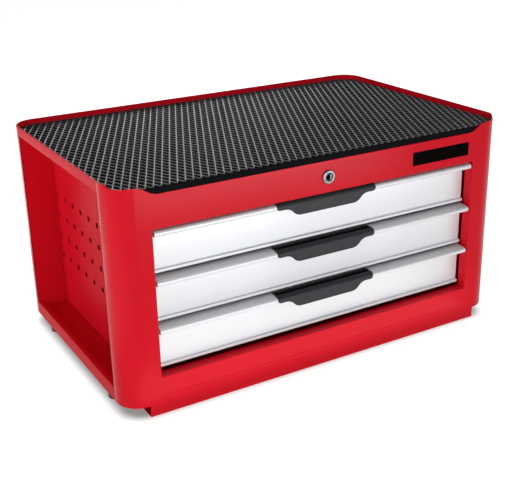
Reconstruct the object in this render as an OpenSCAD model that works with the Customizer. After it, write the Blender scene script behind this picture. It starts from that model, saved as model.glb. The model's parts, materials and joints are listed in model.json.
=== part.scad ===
// Drawer tool chest: a folded sheet cabinet with rounded corners and open side recesses,
// three drawers on telescopic ball slides, a tray top with a rubber mat, and a key lock
// whose rod and bar hold all drawers shut.
// Millimetres, +Z up, front towards -Y. The origin is on the floor below the middle of the chest.

/* [Cabinet] */
// Overall width
chest_w = 687; // [610:1:760]
// Depth from the front sheet to the rear sheet
chest_d = 430; // [415:1:470]
// Radius of the four upright corners
corner_r = 37; // [30:1:40]
// Thickness of the cabinet sheet
sheet_t = 1.2; // [1:0.1:1.4]
// Length of a corner column along the side of the chest
column_d = 43; // [42:1:48]
// Depth of the side recesses
recess_d = 51; // [48:0.1:53]
// Height of the lower edge of the columns above the floor
base_h = 18; // [16:0.5:19]
// Height of the top of the base pan above the floor
pan_z = 30; // [28:0.5:32]
// Height of the lips below the side recesses
side_lip_h = 23; // [20:0.5:24]
// Width of the folded lips of the base pan
side_lip_w = 8; // [6:0.5:10]
// Height of the deck above the low part of the front rim
deck_rise = 3.5; // [3:0.5:5]
// Height of the tray rim above the deck
rim_h = 14.5; // [13:0.5:20]
// Play between folded pieces that fit into each other
fit = 0.2; // [0.1:0.05:0.3]

/* [Mat] */
// Thickness of the top mat with its ribs
mat_t = 6.5; // [5:0.5:8]
// Height of the ribs
rib_h = 1.7; // [1:0.1:2]
// Width of the main ribs
rib_w = 2.4; // [1.6:0.1:3]
// Distance between main ribs along the width of the chest
rib_step = 35.7; // [30:0.1:48]
// Angle between the ribs and the width of the chest
rib_lean = 64.7; // [50:0.1:70]
// Thickness of the hem that hangs over the front of the deck
hem_t = 3; // [2.6:0.1:3.4]
// How far the hem reaches below the low part of the front rim
hem_drop = 4; // [2:0.5:6]

/* [Front] */
// Width of a corner column, from the side of the chest to the drawer opening
column_w = 58.5; // [57:0.5:64]
// Height of the lower edge of the drawer opening
opening_z = 60; // [56:0.5:64]
// Depth of the flanges around the drawer opening
flange_d = 18; // [16:0.5:20]
// Height of the low part of the front sheet above the drawer opening
top_rail_h = 49.4; // [46:0.2:56]
// Distance of the low part of the front rim from the sides of the chest
dip_inset = 71.5; // [68:0.5:80]
// Run of the curve between the low and the high part of the front rim
dip_run = 38; // [34:1:40]
// Rise of the front rim from its low part to the corners
front_rim_h = 13; // [11:0.5:15]
// Distance from the front to the place where the side rim has its full height
rim_start = 24; // [20:0.5:30]
// Distance of the ends of the plinth from the sides of the chest
plinth_inset = 37.5; // [34:0.5:42]
// Distance of the part of the plinth that rises into the front sheet from the sides of the chest
neck_inset = 65.5; // [62:0.5:72]
// Height of the plinth in the middle
plinth_h = 31; // [30:0.5:34]
// Depth of the plinth flanges
plinth_d = 34; // [28:1:40]

/* [Side panel holes] */
// Diameter of the holes
hole_d = 9; // [6:0.5:11]
// Distance of the outer holes from the ends of the recess
hole_edge = 10; // [8:0.5:16]
// Holes along the panel
hole_cols = 10; // [6:2:10]
// Holes up the panel
hole_rows = 4; // [2:1:5]
// Height of the middle of the hole field
hole_mid_z = 177.5; // [170:0.5:190]

/* [Feet] */
// Diameter of a foot where it stands
foot_d = 24; // [20:0.5:26]
// Diameter of a foot under the base pan
foot_top_d = 22; // [20:0.5:26]
// Distance between front and rear feet
foot_span = 260; // [220:1:280]

/* [Drawers] */
// Height of a drawer front
front_h = 69.8; // [66:0.2:76]
// Gap between drawer fronts
drawer_gap = 4; // [3:0.1:5]
// Gap between the top drawer and the opening
top_gap = 1.8; // [1.5:0.1:3]
// Gap between the bottom drawer and the opening
bottom_gap = 6.4; // [4:0.2:8]
// Gap between a drawer front and the sides of the opening
side_gap = 2.5; // [2:0.5:4]
// Distance of the flat face behind the front of the chest
face_set = 21.5; // [18:0.5:24]
// Wall of the drawer front
front_t = 1.5; // [1.2:0.1:1.8]
// Distance of the lip nose behind the front of the chest
nose_set = 0.5; // [0.5:0.1:2]
// Height of the lip
lip_h = 11; // [10:0.1:12.6]
// Radius of the lip nose
nose_r = 4.5; // [3.5:0.1:5]
// Radius of the hollow under the lip
cove_r = 5; // [2:0.5:6]
// How far the foot of the drawer front stands forward
foot_reach = 4.3; // [2.6:0.1:6]
// Height of the foot of the drawer front
foot_h = 4.5; // [3:0.1:6]
// Radius of the crease above the foot
crease_r = 1.5; // [1:0.1:2]
// Height of the drawer box
box_h = 58; // [54:0.5:60]
// Height of the drawer box above the foot of the drawer front
box_lift = 1.6; // [1:0.1:3]
// Wall of the drawer box
box_t = 1; // [0.8:0.1:1.2]
// Radius of the rolled rim of the drawer box
roll_r = 2; // [1.5:0.1:2.5]
// Space behind the drawer boxes
rear_space = 26; // [25:0.5:28]

/* [Handles] */
// Width of a handle
handle_w = 177; // [150:1:220]
// Wall of a handle
handle_t = 2.5; // [2:0.1:3]
// Radius over the nose of a handle
handle_r = 7; // [6:0.1:8]
// Height of the wings of a handle
wing_h = 11; // [10:0.2:12]
// Radius of the wing corners
wing_r = 5; // [3:0.2:6]
// Height of a handle in the middle
apron_h = 23.5; // [20:0.5:27]
// Width of the straight lower edge of a handle
apron_w = 94; // [80:1:110]
// Run of the curve between the wings and the lower edge
ogee_run = 27; // [20:0.5:29]
// Height of the wall of a handle against the drawer front
handle_back_h = 14; // [11:0.5:16]
// Depth of the groove behind the nose of a handle
groove_h = 7; // [4:0.5:8]
// Play around a handle
handle_fit = 0.3; // [0.2:0.05:0.5]

/* [Slides] */
// Thickness of a slide
slide_t = 12.7; // [12.5:0.1:13.5]
// Height of a slide
slide_h = 45; // [44:0.5:48]
// Sheet of the rails
rail_t = 1.2; // [1:0.1:1.3]
// Distance of the slide mounts outside the opening
mount_set = 0.6; // [0.4:0.1:1]
// Travel of a drawer
travel = 350; // [300:1:355]
// Diameter of the balls
ball_d = 4.1; // [4:0.05:4.2]
// Running play on each side of a ball
ball_play = 0.3; // [0.25:0.05:0.4]
// Balls in a row
ball_count = 4; // [3:1:6]
// Width of an upright
upright_w = 40; // [30:1:50]

/* [Lock] */
// Diameter of the bezel
bezel_d = 22; // [20:0.5:24]
// How far the bezel stands out of the front
bezel_proud = 3; // [2:0.5:4]
// Diameter of the barrel
barrel_d = 19; // [18:0.5:19.5]
// Length of the barrel behind the front
barrel_l = 22; // [20:0.5:28]
// Diameter of the turning plug
plug_d = 12.4; // [11:0.1:13]
// Running play of turning pieces
turn_play = 0.1; // [0.05:0.01:0.1]
// Diameter of the rod
rod_d = 8; // [7:0.5:9]
// Radius of the crank
crank_r = 8; // [7:0.5:8.5]
// Diameter of the crank pin
pin_d = 4; // [3:0.1:4.5]
// Play of the crank pin in the slot of the bar
pin_play = 0.5; // [0.4:0.05:0.7]
// Width of the lock bar
bar_w = 30; // [28:1:34]
// Thickness of the lock bar
bar_t = 2; // [1.8:0.1:2.4]
// Width of the drawer catches
catch_w = 24; // [20:1:28]
// Width of the lock hooks
hook_w = 16; // [12:1:18]

/* [Hidden] */
$fn = 64;
eps = 0.01;

red = "#cf1b2b";
silver = "#e8eaee";
grey = "#c3c6ca";
dark = "#3c3e42";
rubber = "#26272a";
zinc = "#b8bcbf";
chrome = "#d6d9dc";

levels = [1, 2, 3];
pitch = front_h + drawer_gap;
opening_h = top_gap + len(levels) * pitch - drawer_gap + bottom_gap;
opening_top = opening_z + opening_h;
low_rim_z = opening_top + top_rail_h;
high_rim_z = low_rim_z + front_rim_h;
deck_z = low_rim_z + deck_rise;
chest_h = deck_z + rim_h;
deck_under = deck_z - sheet_t;

half_w = chest_w / 2;
opening_w = chest_w - 2 * column_w;
dip_w = chest_w - 2 * dip_inset;
plinth_w = chest_w - 2 * plinth_inset;
plinth_neck_w = chest_w - 2 * neck_inset;
front_y = (bezel_proud - chest_d) / 2;
back_y = front_y + chest_d;
mid_y = (front_y + back_y) / 2;
opening_x = opening_w / 2;
panel_x = half_w - recess_d;
foot_x = half_w - side_lip_w + sheet_t - fit - foot_top_d / 2;
recess_front = front_y + column_d;
recess_back = back_y - column_d;
hole_pitch = (recess_back - recess_front - 2 * hole_edge) / (hole_cols - 1);
hem_y = front_y + sheet_t + fit;
deck_front = hem_y + hem_t + fit;

// Lip of a drawer front: axis of its nose, and the direction from there to where the sloped top touches it
nose_y = nose_set + nose_r;
nose_z = nose_r - lip_h;
top_turn = atan2(-nose_z, face_set - nose_y) + acos(nose_r / norm([face_set - nose_y, nose_z]));

mount_x = opening_x + mount_set;
box_x = mount_x - slide_t;
box_front = front_y + face_set + front_t;
box_back = back_y - sheet_t - rear_space;
rail_front = box_front + 1;
rail_back = box_back - 1;
rail_l = rail_back - rail_front;
cage_margin = 10;
cage_l = rail_l - travel / 2 - 2 * cage_margin;

// Heights and widths of the nested rails, from the outside in
ball_room = ball_d + 2 * ball_play;
rail_lip = 4;
middle_h = slide_h - 2 * (rail_t + ball_room);
inner_h = middle_h - 2 * (rail_t + ball_room);
outer_w = slide_t - 2.5;
middle_w = 8.2;
middle_u = 2.3;
inner_w = 7;
cage_w = 4.4;
cage_t = 0.8;

lock_z = (opening_top + low_rim_z) / 2;
plug_front = front_y - bezel_proud + 0.4;
rod_front = front_y + barrel_l + 2;
crank_drop = crank_r * sin(45);
bar_lift = 2 * crank_drop;

// Places behind the drawer boxes, measured from the back of the boxes
catch_t = 1.5;
catch_reach = 12;
catch_lip_h = 12;
hook_reach = 6;
hook_t = 2;
hook_rise = 13;
bar_set = 16;
arm_t = 3;
arm_play = 2;
hook_play = 1.5;
bar_y = box_back + bar_set;
shelf_up = box_h - 12;
hook_up = shelf_up - catch_t - catch_lip_h - hook_play - hook_rise - hook_t;
guide_h = 14;
guide_w = bar_w + 18;
guide_play = 0.3;

function lip_z(level) = opening_top - top_gap - (level - 1) * pitch;
function foot_z(level) = lip_z(level) - front_h;
function box_z(level) = foot_z(level) + box_lift;
function slide_z(level) = box_z(level) + box_h / 2;
function s_curve_r(run, rise) = (run * run + rise * rise) / (4 * rise);
function lip_touch(r) = [nose_y + r * cos(top_turn), nose_z + r * sin(top_turn)];

// Helpers

// Draws its children on the right (side 1) or mirrored to the left (side -1)
module on_side(side) {
    if (side < 0) mirror([1, 0, 0]) children();
    else children();
}

module both_sides() {
    on_side(1) children();
    on_side(-1) children();
}

// Extrudes a profile of (y, z) along X, centred
module along_x(w) {
    translate([-w / 2, 0, 0]) rotate([90, 0, 90]) linear_extrude(w) children();
}

// Extrudes a profile of (x, z) along Y from y0
module along_y(y0, l) {
    translate([0, y0 + l, 0]) rotate([90, 0, 0]) linear_extrude(l) children();
}

// A round piece about an axis along Y, from y0 towards the back
module rod_y(d, y0, l) {
    translate([0, y0, 0]) rotate([-90, 0, 0]) cylinder(d = d, h = l);
}

module rounded_rect(w, d, r) {
    square([w - 2 * r, d], center = true);
    square([w, d - 2 * r], center = true);
    for (x = [-1, 1], y = [-1, 1]) translate([x * (w / 2 - r), y * (d / 2 - r)]) circle(r);
}

// Outline of the chest seen from above, drawn in by inset
module plan(inset) {
    translate([0, mid_y]) rounded_rect(chest_w - 2 * inset, chest_d - 2 * inset, corner_r - inset);
}

module plan_wall(inset, t) {
    difference() {
        plan(inset);
        plan(inset + t);
    }
}

// Everything above the front rim: low in the middle, with an S curve up to each corner
// and a slope from the corners up to the side rim
module rim_dip() {
    r = s_curve_r(dip_run, front_rim_h);
    low_x = dip_w / 2;
    full_x = low_x + dip_run;
    full_y = front_y + rim_start;
    slope_l = 1.6 * (chest_h - high_rim_z);
    along_x(chest_w + 2) polygon([[front_y - 1, high_rim_z], [full_y - slope_l, high_rim_z],
                                  [full_y, chest_h], [full_y, chest_h + 1], [front_y - 1, chest_h + 1]]);
    along_y(front_y - 1, deck_front - front_y + 1) difference() {
        union() {
            translate([-low_x, low_rim_z]) square([dip_w, front_rim_h + 1]);
            translate([-full_x, low_rim_z + front_rim_h / 2]) square([2 * full_x, front_rim_h / 2 + 1]);
            for (s = [-1, 1]) translate([s * low_x, low_rim_z + r]) circle(r);
        }
        for (s = [-1, 1]) translate([s * full_x, high_rim_z - r]) circle(r);
    }
}

// Channel section with its back on the right and two lips on the left
module lipped_channel(w, h, t, lip) {
    difference() {
        translate([0, -h / 2]) square([w, h]);
        translate([t, t - h / 2]) square([w - 2 * t, h - 2 * t]);
        translate([-1, lip - h / 2]) square([t + 2, h - 2 * lip]);
    }
}

// Cabinet

// A column pair: the rounded corners of one end of the chest and the walls into the recesses
module wrapped_end(end) {
    zone_y = end < 0 ? front_y : back_y - column_d;
    wall_y = end < 0 ? recess_front - sheet_t : recess_back;
    translate([0, 0, base_h]) linear_extrude(chest_h - base_h) intersection() {
        plan_wall(0, sheet_t);
        translate([-half_w, zone_y]) square([chest_w, column_d]);
    }
    both_sides() translate([panel_x, wall_y, pan_z + fit])
        cube([recess_d - sheet_t / 2, sheet_t, deck_under - pan_z - 2 * fit]);
}

module front_frame() {
    color(red) difference() {
        union() {
            wrapped_end(-1);
            translate([-opening_x - sheet_t, front_y, opening_z - sheet_t])
                cube([opening_w + 2 * sheet_t, flange_d, opening_h + 2 * sheet_t]);
        }
        translate([-opening_x, front_y - 1, opening_z]) cube([opening_w, flange_d + 2, opening_h]);
        translate([-plinth_neck_w / 2, front_y - 1, 0]) cube([plinth_neck_w, sheet_t + 2, plinth_h]);
        rim_dip();
        translate([0, 0, lock_z]) rod_y(barrel_d + 2 * fit, front_y - 1, sheet_t + 2);
    }
}

module rear_panel() {
    color(red) wrapped_end(1);
}

module side_panel(side) {
    y0 = recess_front - column_d / 3;
    y1 = recess_back + column_d / 3;
    color(red) on_side(side) difference() {
        translate([panel_x - sheet_t, y0, pan_z]) cube([sheet_t, y1 - y0, deck_under - pan_z]);
        for (col = [0 : hole_cols - 1], row = [0 : hole_rows - 1])
            translate([panel_x - 2 * sheet_t, mid_y + (col - (hole_cols - 1) / 2) * hole_pitch,
                       hole_mid_z + (row - (hole_rows - 1) / 2) * hole_pitch])
                rotate([0, 90, 0]) cylinder(d = hole_d, h = 3 * sheet_t);
    }
}

// Folded lip of the base pan along a side recess, seen along Y
module pan_lip() {
    difference() {
        translate([half_w - side_lip_w, base_h]) square([side_lip_w, side_lip_h]);
        translate([half_w - side_lip_w + sheet_t, base_h + sheet_t])
            square([side_lip_w - 2 * sheet_t, side_lip_h - 2 * sheet_t]);
        translate([half_w - side_lip_w - 1, base_h - 1]) square([sheet_t + 1, pan_z - base_h - sheet_t + 1]);
    }
}

module base_pan() {
    color(red) union() {
        translate([0, 0, pan_z - sheet_t]) linear_extrude(sheet_t) intersection() {
            plan(sheet_t + fit);
            square([chest_w - 2 * side_lip_w + 2 * sheet_t, 2 * chest_d], center = true);
        }
        both_sides() along_y(recess_front + fit, recess_back - recess_front - 2 * fit) pan_lip();
    }
}

module top_deck() {
    color(red) difference() {
        union() {
            translate([0, 0, deck_under]) linear_extrude(sheet_t) plan(sheet_t + fit);
            translate([0, 0, deck_under]) linear_extrude(rim_h + sheet_t) plan_wall(sheet_t + fit, sheet_t);
            both_sides() translate([half_w - 2 * sheet_t, recess_front + fit, deck_under])
                cube([2 * sheet_t, recess_back - recess_front - 2 * fit, rim_h + sheet_t]);
        }
        rim_dip();
    }
}

// Main ribs of the mat seen from above: two crossing families of parallel strips
module mat_ribs() {
    strip_l = chest_d / sin(rib_lean);
    count = ceil((chest_w + chest_d / tan(rib_lean)) / rib_step / 2);
    intersection() {
        plan(3 * sheet_t);
        union() for (i = [-count : count], s = [-1, 1])
            translate([i * rib_step, mid_y]) rotate(s * rib_lean) square([strip_l, rib_w], center = true);
    }
}

// The hem ends where the curve of the front rim reaches the underside of the deck
module top_mat() {
    curve_r = s_curve_r(dip_run, front_rim_h);
    hem_rise = deck_rise - sheet_t;
    hem_w = dip_w + 2 * (sqrt(hem_rise * (2 * curve_r - hem_rise)) - fit);
    hem_z = low_rim_z - hem_drop;
    sheet_top = deck_z + mat_t - rib_h;
    color(rubber) union() {
        translate([0, 0, deck_z]) linear_extrude(mat_t - rib_h) plan(3 * sheet_t);
        translate([0, 0, sheet_top]) linear_extrude(rib_h) mat_ribs();
        translate([-hem_w / 2, hem_y, hem_z]) cube([hem_w, hem_t, sheet_top - hem_z]);
    }
}

module front_plinth() {
    neck_w = plinth_neck_w - 4 * fit;
    color(red) union() {
        translate([-plinth_w / 2, front_y, 0]) cube([plinth_w, sheet_t, base_h - fit]);
        translate([-neck_w / 2, front_y, 0]) cube([neck_w, sheet_t, plinth_h - 2 * fit]);
        translate([-plinth_w / 2, front_y, 0]) cube([plinth_w, plinth_d, sheet_t]);
        translate([-neck_w / 2, front_y, pan_z - 2 * sheet_t]) cube([neck_w, plinth_d, sheet_t]);
    }
}

module foot(side, end) {
    taper_h = base_h * 0.7;
    color(rubber) translate([side * foot_x, mid_y + end * foot_span / 2, 0]) union() {
        cylinder(d1 = foot_d, d2 = foot_top_d, h = taper_h);
        translate([0, 0, taper_h]) cylinder(d = foot_top_d, h = pan_z - sheet_t - taper_h);
    }
}

// Channel post between a side panel and the cabinet rails
module upright(side, y0) {
    depth = panel_x - sheet_t - mount_x;
    color(red) on_side(side) translate([mount_x, y0, pan_z]) difference() {
        cube([depth, upright_w, deck_under - pan_z]);
        translate([sheet_t, sheet_t, -1]) cube([depth, upright_w - 2 * sheet_t, deck_under - pan_z + 2]);
    }
}

module upright_front(side) {
    upright(side, rail_front + upright_w / 2);
}

module upright_rear(side) {
    upright(side, rail_back - 1.5 * upright_w);
}

// Drawers

// Floor and sides of a drawer box, folded from one sheet with rolled rims
module drawer_box(level) {
    box_l = box_back - box_front;
    color(grey) translate([0, box_front, box_z(level)]) union() {
        difference() {
            translate([-box_x, 0, 0]) cube([2 * box_x, box_l, box_h]);
            translate([box_t - box_x, -1, box_t]) cube([2 * (box_x - box_t), box_l + 2, box_h]);
        }
        both_sides() translate([box_x - roll_r, 0, box_h]) rod_y(2 * roll_r, 0, box_l);
    }
}

// Front and rear end panels of a drawer box, set between its sides
module drawer_ends(level) {
    end_w = 2 * (box_x - box_t) - fit;
    end_z = box_z(level) + box_t + fit / 2;
    end_h = box_h - box_t - roll_r - fit;
    color(grey) for (y = [box_front, box_back - box_t])
        translate([-end_w / 2, y, end_z]) cube([end_w, box_t, end_h]);
}

// Closed outline of a drawer front seen from its end, measured from the top of its lip
module front_outline() {
    rear_y = face_set + front_t;
    translate([nose_y, nose_z]) circle(nose_r);
    polygon([[rear_y, 0], [face_set, 0], lip_touch(nose_r), [nose_y, -lip_h], [rear_y, -lip_h]]);
    translate([face_set, -front_h]) square([front_t, front_h]);
    difference() {
        translate([face_set - cove_r, -lip_h - cove_r]) square([cove_r + eps, cove_r + eps]);
        translate([face_set - cove_r, -lip_h - cove_r]) circle(cove_r);
    }
    translate([face_set - foot_reach, -front_h]) square([foot_reach + eps, foot_h]);
    difference() {
        translate([face_set - crease_r, foot_h - front_h - eps]) square([crease_r + eps, crease_r + eps]);
        translate([face_set - crease_r, foot_h + crease_r - front_h]) circle(crease_r);
    }
}

// Hollow of the lip, one wall inside its outline
module lip_cell() {
    translate([nose_y, nose_z]) circle(nose_r - front_t);
    polygon([[face_set, -front_t / sin(top_turn)], lip_touch(nose_r - front_t), [nose_y, front_t - lip_h],
             [face_set, front_t - lip_h]]);
}

module drawer_front(level) {
    front_w = opening_w - 2 * side_gap;
    notch_w = handle_w + 2 * handle_fit;
    notch_h = lip_h + cove_r + handle_fit;
    color(silver) translate([0, front_y, lip_z(level)]) difference() {
        along_x(front_w) front_outline();
        along_x(front_w - 2 * front_t) lip_cell();
        translate([-notch_w / 2, -1, -notch_h]) cube([notch_w, face_set + 1, notch_h + 1]);
    }
}

// Section of a handle seen from its end: rolled nose, apron, the floor of the groove behind the nose,
// and the wall on the drawer front
module handle_section() {
    intersection() {
        translate([handle_r, -handle_r]) difference() {
            circle(handle_r);
            circle(handle_r - handle_t);
        }
        translate([0, -handle_r]) square([handle_r, handle_r]);
    }
    translate([0, -groove_h - handle_t]) square([face_set, handle_t]);
    translate([0, -apron_h]) square([handle_t, apron_h - handle_r]);
    translate([face_set - handle_t, -handle_back_h]) square([handle_t, handle_back_h]);
}

module handle_end() {
    translate([handle_r, -handle_r]) circle(handle_r);
    translate([0, -wing_h]) square([handle_r, wing_h - handle_r]);
    translate([handle_r, -wing_h]) square([face_set - handle_r, wing_h]);
}

// Front view of a handle: wings with rounded corners and an ogee down to the straight lower edge
module handle_outline() {
    drop = apron_h - wing_h;
    r = s_curve_r(ogee_run, drop);
    half_apron = apron_w / 2;
    wing_x = handle_w / 2 - wing_r;
    translate([-wing_x, -wing_h]) square([2 * wing_x, wing_h]);
    translate([-handle_w / 2, wing_r - wing_h]) square([handle_w, wing_h - wing_r]);
    translate([-half_apron, -apron_h]) square([apron_w, drop + eps]);
    for (s = [-1, 1]) {
        translate([s * wing_x, wing_r - wing_h]) circle(wing_r);
        intersection() {
            translate([s * half_apron, r - apron_h]) circle(r);
            translate([-handle_w / 2, -apron_h]) square([handle_w, drop + eps]);
        }
        difference() {
            translate([s * (half_apron + ogee_run / 2) - ogee_run / 2, -wing_h - drop / 2])
                square([ogee_run, drop / 2 + eps]);
            translate([s * (half_apron + ogee_run), -wing_h - r]) circle(r);
        }
    }
}

module drawer_handle(level) {
    end_x = (handle_w - handle_t) / 2;
    color(dark) translate([0, front_y, lip_z(level)]) intersection() {
        union() {
            along_x(handle_w) handle_section();
            for (s = [-1, 1]) translate([s * end_x, 0, 0]) along_x(handle_t) handle_end();
        }
        along_y(-1, face_set + 1) handle_outline();
    }
}

// Bracket on the back of a drawer box, with a turned-down lip for the lock hook
module drawer_catch(level) {
    color(zinc) translate([0, box_back, box_z(level) + shelf_up]) along_x(catch_w) {
        translate([0, -2 * catch_lip_h]) square([catch_t, 2 * catch_lip_h]);
        translate([0, -catch_t]) square([catch_reach, catch_t]);
        translate([catch_reach - catch_t, -catch_t - catch_lip_h]) square([catch_t, catch_lip_h + catch_t]);
    }
}

// Slides: each rail section is drawn outward from the side of the drawer box

module cabinet_rail(side, level) {
    color(zinc) on_side(side) along_y(rail_front, rail_l) translate([mount_x - outer_w, slide_z(level)])
        lipped_channel(outer_w, slide_h, rail_t, rail_lip);
}

module middle_rail(side, level) {
    color(zinc) on_side(side) along_y(rail_front, rail_l) translate([box_x + middle_u, slide_z(level)])
        lipped_channel(middle_w, middle_h, rail_t, rail_lip);
}

module drawer_rail(side, level) {
    color(zinc) on_side(side) along_y(rail_front, rail_l) translate([box_x + inner_w, slide_z(level)])
        mirror([1, 0]) lipped_channel(inner_w, inner_h, rail_t, rail_lip - rail_t);
}

// A strip with its balls, from y0
module ball_strip(u, v, y0) {
    ball_step = cage_l / ball_count;
    translate([box_x + u, y0, v]) union() {
        translate([-cage_w / 2, 0, -cage_t / 2]) cube([cage_w, cage_l, cage_t]);
        for (i = [0 : ball_count - 1]) translate([0, (i + 0.5) * ball_step, 0]) sphere(d = ball_d);
    }
}

module ball_cages(level) {
    outer_v = (slide_h / 2 - rail_t + middle_h / 2) / 2;
    inner_v = (middle_h / 2 - rail_t + inner_h / 2) / 2;
    outer_u = middle_u + middle_w / 2 + 0.4;
    inner_u = middle_u + rail_t + (middle_w - rail_t) / 2 - 0.6;
    color(zinc) both_sides() translate([0, 0, slide_z(level)]) for (s = [-1, 1]) {
        ball_strip(outer_u, s * outer_v, rail_back - cage_margin - cage_l);
        ball_strip(inner_u, s * inner_v, rail_front + cage_margin);
    }
}

// Lock

module lock_barrel() {
    bezel_r = bezel_d / 2;
    edge_r = bezel_proud * 0.6;
    color(chrome) translate([0, front_y, lock_z]) difference() {
        union() {
            rotate([90, 0, 0]) rotate_extrude() {
                square([bezel_r, bezel_proud - edge_r]);
                square([bezel_r - edge_r, bezel_proud]);
                translate([bezel_r - edge_r, bezel_proud - edge_r]) intersection() {
                    circle(edge_r);
                    square(edge_r);
                }
            }
            rod_y(barrel_d, 0, barrel_l);
        }
        rod_y(plug_d + 2 * turn_play, -bezel_proud - 1, barrel_l + bezel_proud + 2);
    }
}

module lock_nut() {
    nut_t = 4;
    nut_d = 30;
    color(zinc) translate([0, front_y + sheet_t, lock_z]) difference() {
        rotate([-90, 0, 0]) cylinder(d = nut_d, h = nut_t, $fn = 6);
        rod_y(barrel_d + fit, -1, nut_t + 2);
    }
}

module lock_plug() {
    key_w = 2;
    key_h = 8;
    key_l = 12;
    color(chrome) translate([0, 0, lock_z]) difference() {
        rod_y(plug_d, plug_front, rod_front - plug_front);
        translate([-key_w / 2, plug_front - 1, -key_h / 2]) cube([key_w, key_l, key_h]);
    }
}

// Rod from the plug to the crank, with the pin that lifts the lock bar
module lock_rod() {
    arm_y = bar_y - arm_play - arm_t;
    color(zinc) translate([0, 0, lock_z]) union() {
        rod_y(rod_d, rod_front, arm_y - rod_front + arm_t);
        rotate([0, -45, 0]) {
            translate([-crank_r, arm_y, -rod_d / 2]) cube([crank_r, arm_t, rod_d]);
            translate([-crank_r, 0, 0]) rod_y(rod_d, arm_y, arm_t);
            translate([-crank_r, 0, 0]) rod_y(pin_d, arm_y, arm_t + arm_play + bar_t + 1);
        }
    }
}

// Plate below the deck that carries the rear end of the rod
module rod_hanger() {
    hanger_t = 2;
    hanger_w = 36;
    foot_l = 16;
    hanger_y = box_back - 2 * foot_l;
    low_z = lock_z - rod_d;
    color(zinc) difference() {
        union() {
            translate([-hanger_w / 2, hanger_y, low_z]) cube([hanger_w, hanger_t, deck_under - low_z]);
            translate([-hanger_w / 2, hanger_y, deck_under - hanger_t]) cube([hanger_w, foot_l, hanger_t]);
        }
        translate([0, 0, lock_z]) rod_y(rod_d + 2 * turn_play, hanger_y - 1, hanger_t + 2);
    }
}

// Bar that the crank lifts, with one hook below the catch of each drawer
module lock_bar() {
    slot_z = lock_z - crank_drop;
    slot_h = pin_d + 2 * pin_play;
    low_z = box_z(max(levels)) + hook_up - 6;
    high_z = slot_z + slot_h / 2 + 7;
    color(zinc) union() {
        difference() {
            translate([-bar_w / 2, bar_y, low_z]) cube([bar_w, bar_t, high_z - low_z]);
            translate([-crank_r - slot_h / 2, bar_y - 1, slot_z - slot_h / 2])
                cube([crank_r - crank_drop + slot_h, bar_t + 2, slot_h]);
        }
        for (level = levels) translate([-hook_w / 2, box_back + hook_reach, box_z(level) + hook_up]) {
            cube([hook_w, bar_set - hook_reach + eps, hook_t]);
            cube([hook_w, hook_t, hook_t + hook_rise]);
        }
    }
}

// Block on the rear panel with a slot for the lock bar
module bar_guide(z) {
    block_y = bar_y - 2;
    color(dark) difference() {
        translate([-guide_w / 2, block_y, z]) cube([guide_w, back_y - sheet_t - block_y, guide_h]);
        translate([-bar_w / 2 - guide_play, bar_y - guide_play, z - 1])
            cube([bar_w + 2 * guide_play, bar_t + 2 * guide_play, guide_h + 2]);
    }
}

module bar_guide_upper() {
    bar_guide(lip_z(1));
}

module bar_guide_lower() {
    bar_guide(box_z(2) + hook_up - guide_h - bar_lift);
}

front_frame();
rear_panel();
side_panel(-1);  // left_side_panel
side_panel(1);  // right_side_panel
base_pan();
top_deck();
top_mat();
front_plinth();
foot(-1, -1);  // foot_front_left
foot(1, -1);  // foot_front_right
foot(-1, 1);  // foot_rear_left
foot(1, 1);  // foot_rear_right
upright_front(-1);  // upright_front_left
upright_front(1);  // upright_front_right
upright_rear(-1);  // upright_rear_left
upright_rear(1);  // upright_rear_right
lock_barrel();
lock_nut();
lock_plug();
lock_rod();
rod_hanger();
lock_bar();
bar_guide_upper();
bar_guide_lower();
for (level = levels) {
    drawer_box(level);
    drawer_ends(level);
    drawer_front(level);
    drawer_handle(level);
    drawer_catch(level);
    cabinet_rail(-1, level);
    cabinet_rail(1, level);
    middle_rail(-1, level);
    middle_rail(1, level);
    drawer_rail(-1, level);
    drawer_rail(1, level);
    ball_cages(level);
}
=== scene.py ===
# Looks of the drawer tool chest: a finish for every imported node, softened edges on all of them
# but the ball cages, the diamond net of the rubber mat, the bare plate on the front, and a
# white studio.
import json
import math

import bmesh
import bpy
from mathutils import Matrix, Vector

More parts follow.
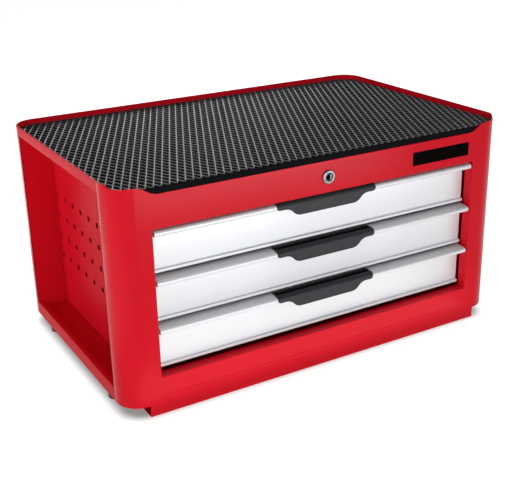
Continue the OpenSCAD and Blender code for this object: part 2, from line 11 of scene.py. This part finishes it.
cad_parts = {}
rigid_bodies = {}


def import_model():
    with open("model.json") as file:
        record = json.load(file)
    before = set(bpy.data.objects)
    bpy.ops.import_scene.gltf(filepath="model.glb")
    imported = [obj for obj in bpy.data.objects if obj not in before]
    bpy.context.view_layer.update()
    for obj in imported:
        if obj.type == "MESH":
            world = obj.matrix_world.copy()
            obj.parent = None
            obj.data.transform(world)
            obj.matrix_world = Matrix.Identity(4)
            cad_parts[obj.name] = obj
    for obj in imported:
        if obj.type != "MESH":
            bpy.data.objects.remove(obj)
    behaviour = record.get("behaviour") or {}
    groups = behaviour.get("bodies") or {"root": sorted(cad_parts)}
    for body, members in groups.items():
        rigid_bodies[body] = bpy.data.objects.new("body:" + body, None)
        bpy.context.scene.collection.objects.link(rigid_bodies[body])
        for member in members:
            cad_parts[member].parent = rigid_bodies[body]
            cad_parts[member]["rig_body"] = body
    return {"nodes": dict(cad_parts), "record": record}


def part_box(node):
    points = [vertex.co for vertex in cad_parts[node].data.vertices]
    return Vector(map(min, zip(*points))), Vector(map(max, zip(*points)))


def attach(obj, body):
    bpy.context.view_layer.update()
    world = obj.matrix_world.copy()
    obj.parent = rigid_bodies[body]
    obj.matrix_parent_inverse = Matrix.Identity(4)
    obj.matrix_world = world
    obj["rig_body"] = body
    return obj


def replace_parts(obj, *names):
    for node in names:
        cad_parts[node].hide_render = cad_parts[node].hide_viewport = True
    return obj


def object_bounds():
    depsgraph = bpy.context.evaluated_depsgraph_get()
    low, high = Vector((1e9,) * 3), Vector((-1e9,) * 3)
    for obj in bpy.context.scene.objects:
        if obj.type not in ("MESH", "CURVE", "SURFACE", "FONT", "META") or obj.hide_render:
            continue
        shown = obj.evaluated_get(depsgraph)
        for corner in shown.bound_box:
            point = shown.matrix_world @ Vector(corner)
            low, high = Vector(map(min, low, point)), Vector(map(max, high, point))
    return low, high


for leftover in list(bpy.data.objects):
    bpy.data.objects.remove(leftover)
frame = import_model()
bpy.context.view_layer.update()
cad_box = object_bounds()
NODES = frame["nodes"]
SLOT_OF = {part["node"]: part["material_slot"] for part in frame["record"]["subparts"]}

MM = 0.001

# Camera, fitted to the edges of the chest in the photograph
AZIMUTH, ELEVATION, ROLL = (math.radians(a) for a in (30.089, 21.923, -1.161))
DISTANCE = 1612.6 * MM
TARGET = Vector((5.64, 1.5, 124.75)) * MM
LENS, SENSOR = 64.24, 36.0

# Rounding of the pieces by material slot: at folds between wide faces, and at cut edges
EDGE_RADII = {
    "red_paint": (1.2 * MM, 0.45 * MM),
    "front_silver": (0.5 * MM, 0.4 * MM),
    "drawer_grey": (0.8 * MM, 0.35 * MM),
    "handle_plastic": (0.8 * MM, 0.6 * MM),
    "foot_rubber": (1.2 * MM, 1.2 * MM),
    "lock_chrome": (0.3 * MM, 0.9 * MM),
    "zinc_steel": (0.7 * MM, 0.35 * MM),
    "guide_plastic": (0.5 * MM, 0.5 * MM),
}
INNER_RADIUS = 0.3 * MM  # at folds seen from inside
NARROW = 2.6 * MM  # a face under this width is the cut edge of a sheet
BEVEL_SEGMENTS = 2
SEAM, SEAM_DEPTH = 1.0 * MM, 2.0 * MM  # reach of the flush seam around the plinth, and its depth
WELD = 0.002 * MM  # points nearer than this are one
FLAT = math.radians(0.5)  # faces that meet at less than this are one
SHARP = math.radians(30)  # edges between the facets of a curve are below this
KEPT_AS_PACKED = ("ball_cages_1", "ball_cages_2", "ball_cages_3")
DULL_RED_NODES = ("left_side_panel", "right_side_panel", "base_pan", "top_deck")
ROUGHNESS_SPAN = (0.25, 0.75)  # values of a field between which the roughness runs

# Rubber mat: a rhombic net of ribs
NET_X, NET_Y = 11.9 * MM, 25.2 * MM
# Rings of a cell from the crest of the ribs to its floor:
# distance from the crest, depth, and how far out the corners are
CELL_RINGS = (
    (0.0 * MM, 0.0 * MM, 1.0),
    (0.45 * MM, 0.08 * MM, 0.97),
    (0.75 * MM, 0.6 * MM, 0.92),
    (1.0 * MM, 1.7 * MM, 0.88),
)
CELL_DEPTH = CELL_RINGS[-1][1]
MAT_T = 6.5 * MM  # with its ribs
MAT_CORNER = 33.4 * MM
CORNER_CUTS = 9  # flats in a rounded corner
MAT_SHARP = math.radians(80)
HEM_W, HEM_T, HEM_R = 567.0 * MM, 3.0 * MM, 0.8 * MM
HEM_SEGMENTS = 3

# Bare plate on the front
PLATE_X, PLATE_Z = (159 * MM, 272.5 * MM), (299 * MM, 320.5 * MM)
PLATE_T = 0.8 * MM
PLATE_R, PLATE_EDGE = 1.5 * MM, 0.25 * MM  # rounding of its corners and of its front edge
PLATE_STEPS = 4  # parts of a rounded corner

# Floor: half its side, how far it lies below the feet, and the shade of its paper
FLOOR_HALF, FLOOR_DROP, PAPER = 4.0, 0.2 * MM, 0.5
# Painted contact shadow, the floor's white glow dimmed near the chest: rounding of its outline, from
# where to where it fades there, and its glow inside
SHADOW_CORNER = 43 * MM
SHADOW_START, SHADOW_END, SHADOW_GLOW = -17 * MM, 14 * MM, 0.15
# World: its light on the object, the brightness of the ceiling, and how steeply a ray rises where
# the white sweep starts to darken and where it is as dark as the ceiling
AMBIENT, CEILING = 0.12, 0.1
SWEEP_START, SWEEP_END = 0.1, 0.6
BOUNCE_Z = 10 * MM  # height of the patches of light on the floor


# Materials


def finish(name, color, roughness, metallic=0.0, specular=0.5):
    """A Principled material with its even values on the shader's own sockets."""
    mat = bpy.data.materials.new(name)
    mat.use_nodes = True
    sockets = mat.node_tree.nodes["Principled BSDF"].inputs
    sockets["Base Color"].default_value = (*color, 1.0)
    sockets["Roughness"].default_value = roughness
    sockets["Metallic"].default_value = metallic
    sockets["Specular IOR Level"].default_value = specular
    return mat


def add_node(mat, kind, links=(), **values):
    """A node with its properties set by name and its inputs fed by (input, output socket) pairs."""
    node = mat.node_tree.nodes.new(kind)
    for name, value in values.items():
        setattr(node, name, value)
    for name, source in links:
        mat.node_tree.links.new(source, node.inputs[name])
    return node


def set_inputs(node, **values):
    for name, value in values.items():
        node.inputs[name.replace("_", " ")].default_value = value
    return node


def noise(mat, scale, detail=2.0, stretch=(1, 1, 1)):
    """Noise over the piece's own metres: scale is in features per metre."""
    place = add_node(mat, "ShaderNodeTexCoord").outputs["Object"]
    mapping = add_node(mat, "ShaderNodeMapping", [("Vector", place)])
    set_inputs(mapping, Scale=stretch)
    field = add_node(mat, "ShaderNodeTexNoise", [("Vector", mapping.outputs["Vector"])])
    set_inputs(field, Scale=scale, Detail=detail)
    return field.outputs["Fac"]


def height_field(mat, low, high):
    """0 at the height low and 1 at the height high, in the frame's metres."""
    place = add_node(mat, "ShaderNodeTexCoord").outputs["Object"]
    z = add_node(mat, "ShaderNodeSeparateXYZ", [("Vector", place)]).outputs["Z"]
    ramp = add_node(mat, "ShaderNodeMapRange", [("Value", z)])
    set_inputs(ramp, From_Min=low, From_Max=high)
    return ramp.outputs["Result"]


def vary_color(mat, field, first, second):
    mix = add_node(mat, "ShaderNodeMix", [("Factor", field)], data_type="RGBA")
    mix.inputs["A"].default_value = (*first, 1.0)
    mix.inputs["B"].default_value = (*second, 1.0)
    bsdf = mat.node_tree.nodes["Principled BSDF"]
    mat.node_tree.links.new(mix.outputs["Result"], bsdf.inputs["Base Color"])


def vary_roughness(mat, field, low, high):
    ramp = add_node(mat, "ShaderNodeMapRange", [("Value", field)])
    start, end = ROUGHNESS_SPAN
    set_inputs(ramp, From_Min=start, From_Max=end, To_Min=low, To_Max=high)
    bsdf = mat.node_tree.nodes["Principled BSDF"]
    mat.node_tree.links.new(ramp.outputs["Result"], bsdf.inputs["Roughness"])


def vary_specular(mat, field, low, high):
    ramp = add_node(mat, "ShaderNodeMapRange", [("Value", field)])
    set_inputs(ramp, To_Min=low, To_Max=high)
    bsdf = mat.node_tree.nodes["Principled BSDF"]
    mat.node_tree.links.new(ramp.outputs["Result"], bsdf.inputs["Specular IOR Level"])


def bump(mat, field, height):
    """Relief of that height in metres, on top of any relief that is there already."""
    bsdf = mat.node_tree.nodes["Principled BSDF"]
    relief = add_node(mat, "ShaderNodeBump", [("Height", field)])
    set_inputs(relief, Distance=height)
    if bsdf.inputs["Normal"].links:
        under = bsdf.inputs["Normal"].links[0].from_socket
        mat.node_tree.links.new(under, relief.inputs["Normal"])
    mat.node_tree.links.new(relief.outputs["Normal"], bsdf.inputs["Normal"])


def red_paint(name="red_powder_coat", specular=0.08, roughness=0.22):
    mat = finish(name, (0.70, 0.0065, 0.019), roughness, specular=specular)
    vary_color(mat, noise(mat, 7), (0.68, 0.0055, 0.017), (0.73, 0.0085, 0.022))
    vary_roughness(mat, noise(mat, 45), roughness - 0.03, roughness + 0.04)
    bump(mat, noise(mat, 420, detail=1), 0.02 * MM)
    return mat


def front_silver():
    mat = finish("silver_coat", (0.73, 0.74, 0.76), 0.4, metallic=0.3, specular=0.3)
    vary_color(mat, noise(mat, 2600, detail=0), (0.71, 0.72, 0.74), (0.75, 0.76, 0.78))
    vary_roughness(mat, noise(mat, 30), 0.36, 0.44)
    bump(mat, noise(mat, 600, detail=1), 0.01 * MM)
    return mat


def drawer_grey():
    mat = finish("grey_coat", (0.42, 0.43, 0.45), 0.45)
    vary_color(mat, noise(mat, 9), (0.40, 0.41, 0.43), (0.45, 0.46, 0.48))
    vary_roughness(mat, noise(mat, 40), 0.4, 0.52)
    bump(mat, noise(mat, 500, detail=1), 0.02 * MM)
    return mat


def handle_plastic():
    mat = finish("moulded_grip", (0.025, 0.027, 0.030), 0.45, specular=0.2)
    vary_color(mat, noise(mat, 25), (0.022, 0.024, 0.027), (0.029, 0.031, 0.035))
    vary_roughness(mat, noise(mat, 80), 0.36, 0.48)
    bump(mat, noise(mat, 1800, detail=2), 0.03 * MM)
    return mat


def mat_rubber():
    mat = finish("ribbed_rubber_painted_light", (0.03, 0.031, 0.033), 0.6)
    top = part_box("top_mat")[1].z
    height = height_field(mat, top - CELL_DEPTH, top)
    # Painted highlight and shade: by height, the crests of the ribs are painted lighter and the floors
    # of the cells darker
    vary_color(mat, height, (0.006, 0.006, 0.007), (0.090, 0.091, 0.094))
    vary_specular(mat, height, 0.04, 0.5)
    vary_roughness(mat, height, 0.85, 0.45)
    bump(mat, noise(mat, 1500, detail=2), 0.04 * MM)
    return mat


def foot_rubber():
    mat = finish("foot_rubber", (0.02, 0.02, 0.021), 0.7)
    vary_color(mat, noise(mat, 60), (0.016, 0.016, 0.017), (0.026, 0.026, 0.027))
    bump(mat, noise(mat, 1500, detail=2), 0.05 * MM)
    return mat


def lock_chrome():
    mat = finish("chrome", (0.13, 0.132, 0.137), 0.26, metallic=1.0)
    vary_roughness(mat, noise(mat, 300), 0.22, 0.30)
    vary_color(mat, noise(mat, 120), (0.12, 0.122, 0.127), (0.14, 0.142, 0.147))
    return mat


def plug_nickel():
    mat = finish("dark_nickel", (0.070, 0.071, 0.075), 0.3, metallic=1.0)
    vary_roughness(mat, noise(mat, 500), 0.25, 0.36)
    vary_color(mat, noise(mat, 200), (0.065, 0.066, 0.070), (0.075, 0.076, 0.080))
    return mat


def zinc_steel():
    mat = finish("zinc_plate", (0.60, 0.61, 0.62), 0.34, metallic=1.0)
    rolled = noise(mat, 260, stretch=(1, 0.04, 1))
    vary_color(mat, noise(mat, 35), (0.54, 0.55, 0.57), (0.65, 0.66, 0.66))
    vary_roughness(mat, rolled, 0.26, 0.42)
    bump(mat, rolled, 0.01 * MM)
    return mat


def guide_plastic():
    mat = finish("guide_plastic", (0.05, 0.05, 0.055), 0.5)
    vary_color(mat, noise(mat, 40), (0.045, 0.045, 0.05), (0.06, 0.06, 0.065))
    bump(mat, noise(mat, 1200), 0.02 * MM)
    return mat


def plate_black():
    mat = finish("black_plate", (0.004, 0.004, 0.004), 0.45, specular=0.0)
    vary_color(mat, noise(mat, 50), (0.004, 0.003, 0.003), (0.005, 0.004, 0.004))
    vary_roughness(mat, noise(mat, 150), 0.4, 0.5)
    return mat


FINISHES = {
    make.__name__: make()
    for make in (
        red_paint, front_silver, drawer_grey, handle_plastic, mat_rubber, foot_rubber,
        lock_chrome, zinc_steel, guide_plastic,
    )
}


# Pieces


def add_piece(name, mesh, body, slot, material=None):
    """A new piece that rides on a body, with the finish of a slot of the record."""
    mesh.materials.clear()
    mesh.materials.append(material or FINISHES[slot])
    piece = bpy.data.objects.new(name, mesh)
    bpy.context.scene.collection.objects.link(piece)
    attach(piece, body)
    return piece


def mesh_from(work, name):
    mesh = bpy.data.meshes.new(name)
    work.to_mesh(mesh)
    work.free()
    mesh.shade_smooth()
    return mesh


def round_edges(piece, width):
    """Rounds the edges by their bevel weights, and keeps flat faces flat."""
    rounding = piece.modifiers.new("rounding", "BEVEL")
    rounding.width = width
    rounding.segments = BEVEL_SEGMENTS
    rounding.limit_method = "WEIGHT"
    rounding.use_clamp_overlap = False
    piece.modifiers.new("flat_faces", "WEIGHTED_NORMAL").keep_sharp = True


def face_width(face):
    """Width of a face that is much longer than wide."""
    return 2 * face.calc_area() / face.calc_perimeter()


def edge_radius(edge, fold, cut):
    """How far an edge of a folded sheet is rounded: not at all between the facets of a curve."""
    if len(edge.link_faces) != 2 or edge.calc_face_angle() < SHARP:
        return 0.0
    if min(face_width(face) for face in edge.link_faces) < NARROW:
        return cut
    return fold if edge.is_convex else INNER_RADIUS


def in_seam(node, edge):
    """Whether an edge lies where the plinth closes flush with the front frame."""
    if node not in ("front_frame", "front_plinth"):
        return False
    lo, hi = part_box("front_plinth")
    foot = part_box("front_frame")[0].z
    inside = all(
        abs(v.co.x) < hi.x + SEAM and v.co.y < lo.y + SEAM_DEPTH and foot - SEAM < v.co.z < hi.z + SEAM
        for v in edge.verts
    )
    crease = node == "front_plinth" and all(v.co.z > hi.z - SEAM for v in edge.verts)
    return inside and not crease


def softened(node):
    """A copy of a CAD node with rounded folds and edges, which stands for the node."""
    fold, cut = EDGE_RADII[SLOT_OF[node]]
    work = bmesh.new()
    work.from_mesh(NODES[node].data)
    bmesh.ops.remove_doubles(work, verts=work.verts, dist=WELD)
    bmesh.ops.dissolve_limit(work, angle_limit=FLAT, verts=work.verts, edges=work.edges)
    weight = work.edges.layers.float.new("bevel_weight_edge")
    widest = max(fold, cut)
    for edge in work.edges:
        edge[weight] = 0.0 if in_seam(node, edge) else edge_radius(edge, fold, cut) / widest
    name = node + "_finished"
    piece = add_piece(name, mesh_from(work, name), NODES[node]["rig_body"], SLOT_OF[node])
    round_edges(piece, widest)
    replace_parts(piece, node)


def cell_rings(center):
    """The rings of one rhombic cell of the mat: its corners and the middles between them."""
    half_x, half_y = NET_X / 2, NET_Y / 2
    corners = [Vector(c) for c in ((half_x, 0), (0, half_y), (-half_x, 0), (0, -half_y))]
    reach = half_x * half_y / math.hypot(half_x, half_y)
    rings = []
    for inset, depth, rounding in CELL_RINGS:
        size = 1 - inset / reach
        ring = []
        for corner, following in zip(corners, corners[1:] + corners[:1]):
            for point in (corner * rounding, (corner + following) / 2):
                ring.append((center + point * size).to_3d() - Vector((0, 0, depth)))
        rings.append(ring)
    return rings


def net_cells(lo, hi):
    """Centers of the cells that reach into the rectangle of the mat."""
    middle = (lo + hi) / 2
    columns = math.ceil((hi.x - lo.x) / NET_X) + 1
    rows = math.ceil((hi.y - lo.y) / NET_Y) + 1
    for i in range(-columns, columns + 1):
        for j in range(-rows, rows + 1):
            if (i + j) % 2:
                yield middle.to_2d() + Vector((i * NET_X / 2, j * NET_Y / 2))


def outline_planes(lo, hi):
    """(point, outward normal) of the upright planes that bound the mat, with its rounded corners."""
    middle = (lo + hi) / 2
    half = (hi - lo) / 2
    for axis in (0, 1):
        for side in (-1, 1):
            normal = Vector((0, 0, 0))
            normal[axis] = side
            yield middle + normal * half[axis], normal
    for sx in (-1, 1):
        for sy in (-1, 1):
            center = middle + Vector((sx * (half.x - MAT_CORNER), sy * (half.y - MAT_CORNER), 0))
            for cut in range(CORNER_CUTS):
                angle = math.radians(90) * (cut + 0.5) / CORNER_CUTS
                normal = Vector((sx * math.cos(angle), sy * math.sin(angle), 0))
                yield center + normal * MAT_CORNER, normal


def trim(work, point, normal):
    """Cuts away what lies outside a plane."""
    near = [f for f in work.faces if max((v.co - point).dot(normal) for v in f.verts) > 0]
    parts = dict.fromkeys(near)  # a set that keeps its order
    for face in near:
        parts.update(dict.fromkeys([*face.edges, *face.verts]))
    bmesh.ops.bisect_plane(work, geom=list(parts), plane_co=point, plane_no=normal, clear_outer=True)


def add_skirt(work, low_z):
    """The upright sides of the mat, down from its open edges, and its flat underside."""
    rim = [edge for edge in work.edges if edge.is_boundary]
    # Made face by face: the extrude operator gives them in another order each run
    low = {}
    for vert in dict.fromkeys(v for edge in rim for v in edge.verts):
        low[vert] = work.verts.new((vert.co.x, vert.co.y, low_z))
    foot = []
    for edge in rim:
        a, b = edge.verts
        work.faces.new((a, b, low[b], low[a]))
        foot.append(work.edges.get((low[a], low[b])))
    bmesh.ops.edgeloop_fill(work, edges=foot)


def add_hem(work, low, top_z):
    """The plain front edge of the mat, which hangs over the front of the deck."""
    size = Vector((HEM_W, HEM_T, top_z - low.z))
    center = Vector((0, low.y + HEM_T / 2, (low.z + top_z) / 2))
    place = Matrix.Translation(center) @ Matrix.Diagonal(size.to_4d())
    made = bmesh.ops.create_cube(work, size=1.0, matrix=place)
    edges = dict.fromkeys(edge for vert in made["verts"] for edge in vert.link_edges)
    bmesh.ops.bevel(work, geom=list(edges), offset=HEM_R, segments=HEM_SEGMENTS, profile=0.5,
                    affect="EDGES")


def diamond_mat():
    """The rubber mat: a net of rounded ribs over rhombic cells, cut to the outline of the tray."""
    hem_lo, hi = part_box("top_mat")
    deck_lo, deck_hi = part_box("top_deck")
    lo = Vector((-hi.x, deck_lo.y + deck_hi.y - hi.y, hi.z - MAT_T))
    top = Vector((0, 0, hi.z))
    work = bmesh.new()
    for center in net_cells(lo, hi):
        rings = [[work.verts.new(point + top) for point in ring] for ring in cell_rings(center)]
        for outer, inner in zip(rings, rings[1:]):
            for n in range(len(outer)):
                m = (n + 1) % len(outer)
                work.faces.new((outer[n], outer[m], inner[m], inner[n]))
        work.faces.new(rings[-1])
    bmesh.ops.remove_doubles(work, verts=work.verts, dist=WELD)
    for point, normal in outline_planes(lo, hi):
        trim(work, point, normal)
    add_skirt(work, lo.z)
    add_hem(work, hem_lo, hi.z - CELL_DEPTH)
    bmesh.ops.recalc_face_normals(work, faces=work.faces)
    mesh = mesh_from(work, "diamond_mat")
    mesh.set_sharp_from_angle(angle=MAT_SHARP)
    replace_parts(add_piece("diamond_mat", mesh, "cabinet", "mat_rubber"), "top_mat")


def front_plate():
    """The bare dark plate on the front, upper right."""
    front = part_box("front_frame")[0].y
    work = bmesh.new()
    outline = []
    for turn, (x, z) in enumerate(((PLATE_X[1], PLATE_Z[1]), (PLATE_X[0], PLATE_Z[1]),
                                   (PLATE_X[0], PLATE_Z[0]), (PLATE_X[1], PLATE_Z[0]))):
        inward = Vector(((-1, 1, 1, -1)[turn], 0, (-1, -1, 1, 1)[turn])) * PLATE_R
        for step in range(PLATE_STEPS + 1):
            angle = math.radians(90) * (turn + step / PLATE_STEPS)
            arc = Vector((math.cos(angle), 0, math.sin(angle))) * PLATE_R
            outline.append(work.verts.new(Vector((x, front, z)) + inward + arc))
    face = work.faces.new(outline)
    raised = bmesh.ops.extrude_face_region(work, geom=[face])["geom"]
    for part in raised:
        if isinstance(part, bmesh.types.BMVert):
            part.co.y -= PLATE_T
    bmesh.ops.recalc_face_normals(work, faces=work.faces)
    weight = work.edges.layers.float.new("bevel_weight_edge")
    for edge in work.edges:
        if all(v.co.y < front - PLATE_T / 2 for v in edge.verts):
            edge[weight] = 1.0
    mesh = mesh_from(work, "front_plate")
    piece = add_piece("front_plate", mesh, "cabinet", "guide_plastic", plate_black())
    round_edges(piece, PLATE_EDGE)


# Studio


def studio_floor():
    """A pale floor that looks white, keeps the real shadow of the chest with a painted contact shadow
    at its foot, and is clear from below.
    """
    work = bmesh.new()
    bmesh.ops.create_grid(work, x_segments=1, y_segments=1, size=FLOOR_HALF)
    floor = bpy.data.objects.new("studio_floor", mesh_from(work, "studio_floor"))
    floor.location.z = -FLOOR_DROP
    bpy.context.scene.collection.objects.link(floor)
    mat = bpy.data.materials.new("studio_floor")
    mat.use_nodes = True
    nodes, links = mat.node_tree.nodes, mat.node_tree.links
    nodes.remove(nodes["Principled BSDF"])
    paper = set_inputs(add_node(mat, "ShaderNodeBsdfDiffuse"), Color=(PAPER, PAPER, PAPER, 1))
    white = add_node(mat, "ShaderNodeEmission")
    # Painted contact shadow: the white glow is dimmed near the foot of the chest
    glow = add_node(mat, "ShaderNodeMapRange", [("Value", distance_from_foot(mat))],
                    interpolation_type="SMOOTHSTEP")
    set_inputs(glow, From_Min=SHADOW_START, From_Max=SHADOW_END, To_Min=SHADOW_GLOW, To_Max=1.0)
    seen = add_node(mat, "ShaderNodeMath", [(0, glow.outputs["Result"]), (1, shown_rays(mat))],
                    operation="MULTIPLY")
    links.new(seen.outputs["Value"], white.inputs["Strength"])
    both = add_node(mat, "ShaderNodeAddShader",
                    [(0, paper.outputs["BSDF"]), (1, white.outputs["Emission"])])
    clear = add_node(mat, "ShaderNodeBsdfTransparent").outputs["BSDF"]
    below = add_node(mat, "ShaderNodeNewGeometry").outputs["Backfacing"]
    paned = add_node(mat, "ShaderNodeMixShader", [(0, below), (1, both.outputs["Shader"]), (2, clear)])
    links.new(paned.outputs["Shader"], nodes["Material Output"].inputs["Surface"])
    floor.data.materials.append(mat)


def distance_from_foot(mat):
    """Distance on the floor from the rounded outline of the chest."""
    lo, hi = cad_box
    corner = Vector((SHADOW_CORNER, SHADOW_CORNER, 0))
    place = add_node(mat, "ShaderNodeTexCoord").outputs["Object"]
    centred = add_node(mat, "ShaderNodeVectorMath", [(0, place)], operation="SUBTRACT")
    centred.inputs[1].default_value = (lo + hi) / 2
    side = add_node(mat, "ShaderNodeVectorMath", [(0, centred.outputs["Vector"])], operation="ABSOLUTE")
    past = add_node(mat, "ShaderNodeVectorMath", [(0, side.outputs["Vector"])], operation="SUBTRACT")
    past.inputs[1].default_value = (hi - lo) / 2 - corner
    outside = add_node(mat, "ShaderNodeVectorMath", [(0, past.outputs["Vector"])], operation="MAXIMUM")
    flat = add_node(mat, "ShaderNodeVectorMath", [(0, outside.outputs["Vector"])], operation="MULTIPLY")
    flat.inputs[1].default_value = (1, 1, 0)
    reach = add_node(mat, "ShaderNodeVectorMath", [(0, flat.outputs["Vector"])], operation="LENGTH")
    distance = add_node(mat, "ShaderNodeMath", [(0, reach.outputs["Value"])], operation="SUBTRACT")
    distance.inputs[1].default_value = SHADOW_CORNER
    return distance.outputs["Value"]


def shown_rays(tree_owner):
    """1 for rays that show the background: from the camera, and by reflection or through glass."""
    path = add_node(tree_owner, "ShaderNodeLightPath")
    both = add_node(tree_owner, "ShaderNodeMath", operation="MAXIMUM", links=[
        (0, path.outputs["Is Camera Ray"]), (1, path.outputs["Is Glossy Ray"])])
    return add_node(tree_owner, "ShaderNodeMath", operation="MAXIMUM", links=[
        (0, both.outputs["Value"]), (1, path.outputs["Is Transmission Ray"])]).outputs["Value"]


def studio_world():
    """A white sweep under a darker ceiling."""
    world = bpy.data.worlds.new("studio")
    world.use_nodes = True
    bpy.context.scene.world = world
    backdrop = world.node_tree.nodes["Background"]
    set_inputs(backdrop, Color=(1, 1, 1, 1))
    way = add_node(world, "ShaderNodeTexCoord").outputs["Generated"]
    height = add_node(world, "ShaderNodeSeparateXYZ", [("Vector", way)]).outputs["Z"]
    sweep = add_node(world, "ShaderNodeMapRange", [("Value", height)], interpolation_type="SMOOTHSTEP")
    set_inputs(sweep, From_Min=SWEEP_START, From_Max=SWEEP_END, To_Min=1.0, To_Max=CEILING)
    level = add_node(world, "ShaderNodeMix",
                     [("Factor", shown_rays(world)), ("B", sweep.outputs["Result"])])
    set_inputs(level, A=AMBIENT)
    world.node_tree.links.new(level.outputs["Result"], backdrop.inputs["Strength"])


def softbox(name, place, size, watts, aim):
    """A rectangular lamp that the camera doesn't see."""
    lamp = bpy.data.lights.new(name, "AREA")
    lamp.shape = "RECTANGLE"
    lamp.size, lamp.size_y = size
    lamp.energy = watts
    box = bpy.data.objects.new(name, lamp)
    box.location = place
    box.rotation_euler = (Vector(aim) - Vector(place)).to_track_quat("-Z", "Y").to_euler()
    box.visible_camera = False
    bpy.context.scene.collection.objects.link(box)
    return box


def bounce(name, center, size, radiance):
    """Light that comes up from a patch of the pale floor."""
    watts = radiance * math.pi * size[0] * size[1]
    return softbox(name, (*center, BOUNCE_Z), size, watts, aim=(*center, 1))


def studio_lights():
    softbox("key", place=(-0.42, -2.25, 0.4), size=(1.4, 0.7), watts=28, aim=(0, 0, 0.2))
    softbox("left_fill", place=(-2.0, 0.2, 0.5), size=(1.0, 0.7), watts=12, aim=(-0.3, 0, 0.2))
    softbox("back_light", place=(0.7, 1.75, 0.85), size=(0.8, 0.6), watts=10, aim=(-0.1, 0, 0.35))
    softbox("overhead", place=(0.0, 0.0, 2.0), size=(2.0, 1.6), watts=5, aim=(0, 0, 0.15))
    card = bounce("front_card", center=(0.42, -1.24), size=(0.8, 0.34), radiance=15)
    card.visible_diffuse = False  # it shows as a reflection only
    bounce("near_bounce", center=(-0.02, -0.285), size=(0.66, 0.09), radiance=1.25)
    bounce("left_bounce", center=(-0.9, -0.1), size=(0.7, 1.0), radiance=0.8)
    bounce("right_bounce", center=(1.05, 0.0), size=(0.9, 1.2), radiance=0.4)
    softbox("right_fill", place=(2.0, 0.6, 0.6), size=(1.0, 0.7), watts=8, aim=(0.3, 0, 0.2))
    bounce("back_bounce", center=(0.0, 1.0), size=(1.4, 0.9), radiance=1.2)


def camera():
    back = Vector((-math.sin(AZIMUTH) * math.cos(ELEVATION), -math.cos(AZIMUTH) * math.cos(ELEVATION),
                   math.sin(ELEVATION)))
    right = (-back).cross(Vector((0, 0, 1))).normalized()
    up = right.cross(-back)
    x_axis = math.cos(ROLL) * right + math.sin(ROLL) * up
    y_axis = math.cos(ROLL) * up - math.sin(ROLL) * right
    lens = bpy.data.cameras.new("photo_camera")
    lens.lens, lens.sensor_width, lens.sensor_fit = LENS, SENSOR, "HORIZONTAL"
    view = bpy.data.objects.new("photo_camera", lens)
    turn = Matrix((x_axis, y_axis, back)).transposed().to_4x4()
    view.matrix_world = Matrix.Translation(TARGET + back * DISTANCE) @ turn
    bpy.context.scene.collection.objects.link(view)
    bpy.context.scene.camera = view


camera()
for node, obj in NODES.items():
    if node in KEPT_AS_PACKED:
        obj.material_slots[0].material = FINISHES[SLOT_OF[node]]
    elif node != "top_mat":
        softened(node)
bpy.data.objects["lock_plug_finished"].data.materials[0] = plug_nickel()
dull_red = red_paint("red_powder_coat_dull", specular=0.02, roughness=0.36)
for node in DULL_RED_NODES:
    bpy.data.objects[node + "_finished"].data.materials[0] = dull_red
diamond_mat()
front_plate()
studio_floor()
studio_world()
studio_lights()
bpy.context.scene.view_settings.view_transform = "Standard"

bpy.context.view_layer.update()
